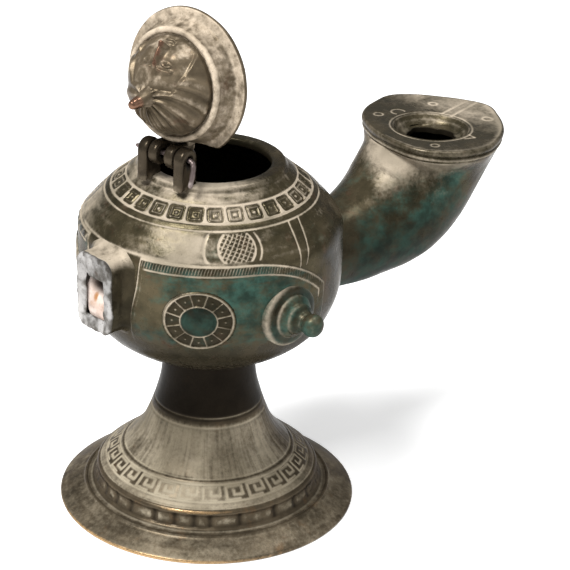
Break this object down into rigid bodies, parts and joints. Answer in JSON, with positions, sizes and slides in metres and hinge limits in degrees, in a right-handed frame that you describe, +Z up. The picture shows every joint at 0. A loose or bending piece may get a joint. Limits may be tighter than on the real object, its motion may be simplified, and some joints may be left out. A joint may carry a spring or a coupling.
{
  "type": "oil lamp",
  "caption": "Ancient cast bronze oil lamp on a flared foot, with a curved spout, a broken handle socket and a hinged lid with a mask, shown open.",
  "frame": {"origin": "on the surface the foot stands on, under the middle of the lamp's length", "axes": "+Z up, +X along the lamp toward the wick end of the spout, the broken handle toward -X"},
  "size_m": [0.1528, 0.094, 0.1474],
  "materials": {
    "foot_bronze": "worn brown bronze patina with pale deposits",
    "body_bronze": "dark olive bronze patina with green corrosion and pale deposits",
    "packing": "dull crumbly pale filling",
    "pin_bronze": "bare worn wire",
    "lid_bronze": "pale cream deposit over brown bronze"
  },
  "bodies": {
    "lamp": {"foot": "foot_bronze", "lamp_body": "body_bronze", "handle_fill": "packing", "hinge_pin": "pin_bronze"},
    "lid": {"lid": "lid_bronze"}
  },
  "joints": [
    {"name": "lid_hinge", "type": "hinge", "parent": "lamp", "child": "lid", "pos_m": [-0.05362, -0.00297, 0.1095], "axis": [-0.1564, 0.9877, 0], "range_deg": [-15, 84.6]}
  ]
}
